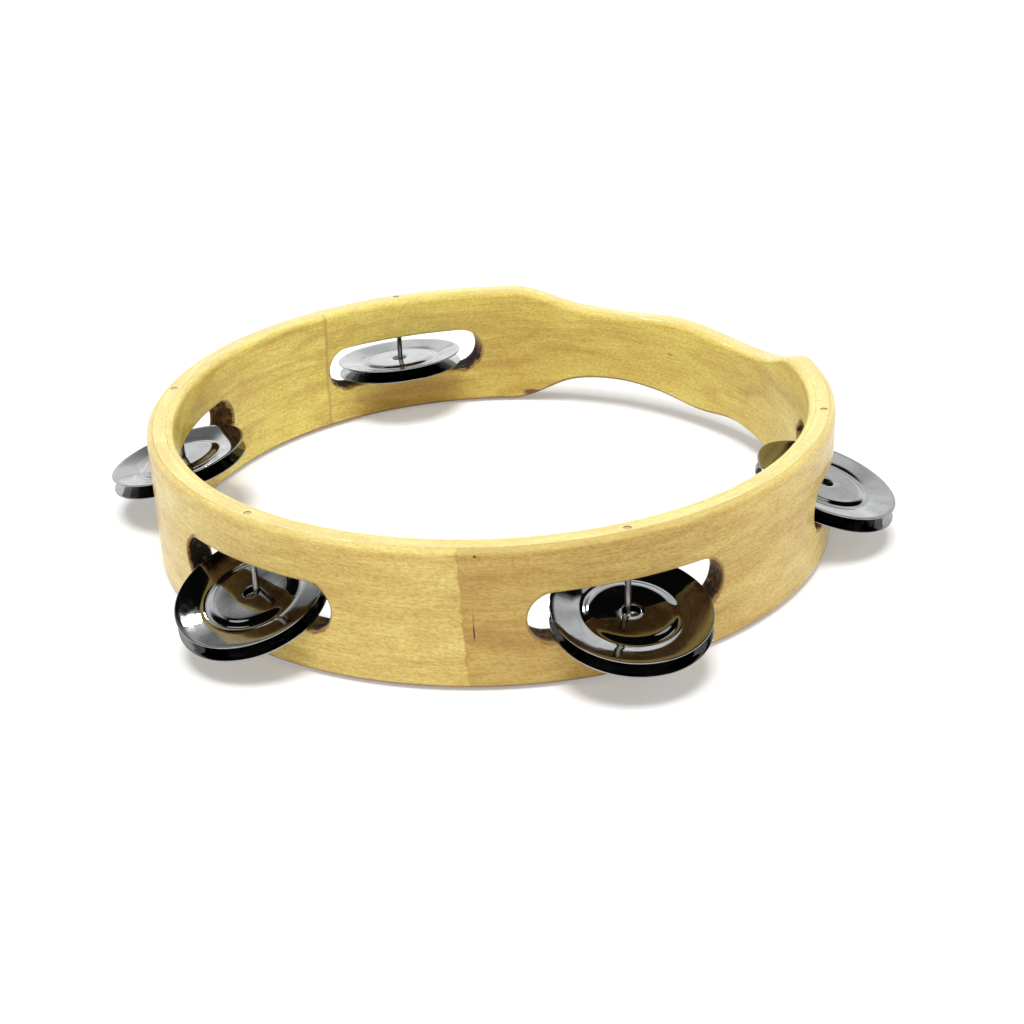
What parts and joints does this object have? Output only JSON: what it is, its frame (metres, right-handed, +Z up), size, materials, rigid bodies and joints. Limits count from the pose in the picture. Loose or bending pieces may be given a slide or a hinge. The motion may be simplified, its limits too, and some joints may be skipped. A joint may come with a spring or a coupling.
{
  "type": "tambourine",
  "caption": "Headless hand tambourine: laminated wooden hoop with a scooped hand grip and pairs of pressed steel jingles loose on nails in slots through its wall.",
  "frame": {"origin": "on the hoop's axis, in the plane of its lower edge", "axes": "+Z up along the hoop's axis, +X towards the right jingle pair, -Y towards the front; the hand grip is at the back right"},
  "size_m": [0.2368, 0.2308, 0.0403],
  "materials": {
    "face_maple": "clear gloss lacquer over pale maple, grain along the hoop",
    "core_maple": "clear lacquer over the edge of the core ply",
    "nail_steel": "plain drawn wire",
    "jingle_steel": "dark nickel plating, polished"
  },
  "bodies": {
    "frame": {"frame_outer_ply": "face_maple", "frame_core_ply": "core_maple", "frame_inner_ply": "face_maple", "pin_right": "nail_steel", "pin_front_right": "nail_steel", "pin_front_left": "nail_steel", "pin_left": "nail_steel", "pin_back": "nail_steel"},
    "jingle_right_lower": {"jingle_right_lower": "jingle_steel"},
    "jingle_right_upper": {"jingle_right_upper": "jingle_steel"},
    "jingle_front_right_lower": {"jingle_front_right_lower": "jingle_steel"},
    "jingle_front_right_upper": {"jingle_front_right_upper": "jingle_steel"},
    "jingle_front_left_lower": {"jingle_front_left_lower": "jingle_steel"},
    "jingle_front_left_upper": {"jingle_front_left_upper": "jingle_steel"},
    "jingle_left_lower": {"jingle_left_lower": "jingle_steel"},
    "jingle_left_upper": {"jingle_left_upper": "jingle_steel"},
    "jingle_back_lower": {"jingle_back_lower": "jingle_steel"},
    "jingle_back_upper": {"jingle_back_upper": "jingle_steel"}
  },
  "joints": [
    {"name": "right_lower_slide", "type": "slide", "parent": "frame", "child": "jingle_right_lower", "axis": [0, 0, 1], "range_m": [0, 0.0028]},
    {"name": "right_upper_slide", "type": "slide", "parent": "jingle_right_lower", "child": "jingle_right_upper", "axis": [0, 0, 1], "range_m": [0, 0.0028]},
    {"name": "front_right_lower_slide", "type": "slide", "parent": "frame", "child": "jingle_front_right_lower", "axis": [0, 0, 1], "range_m": [0, 0.0033]},
    {"name": "front_right_upper_slide", "type": "slide", "parent": "jingle_front_right_lower", "child": "jingle_front_right_upper", "axis": [0, 0, 1], "range_m": [0, 0.0033]},
    {"name": "front_left_lower_slide", "type": "slide", "parent": "frame", "child": "jingle_front_left_lower", "axis": [0, 0, 1], "range_m": [0, 0.0027]},
    {"name": "front_left_upper_slide", "type": "slide", "parent": "jingle_front_left_lower", "child": "jingle_front_left_upper", "axis": [0, 0, 1], "range_m": [0, 0.0027]},
    {"name": "left_lower_slide", "type": "slide", "parent": "frame", "child": "jingle_left_lower", "axis": [0, 0, 1], "range_m": [0, 0.0034]},
    {"name": "left_upper_slide", "type": "slide", "parent": "jingle_left_lower", "child": "jingle_left_upper", "axis": [0, 0, 1], "range_m": [0, 0.0034]},
    {"name": "back_lower_slide", "type": "slide", "parent": "frame", "child": "jingle_back_lower", "axis": [0, 0, 1], "range_m": [0, 0.0033]},
    {"name": "back_upper_slide", "type": "slide", "parent": "jingle_back_lower", "child": "jingle_back_upper", "axis": [0, 0, 1], "range_m": [0, 0.0033]}
  ]
}
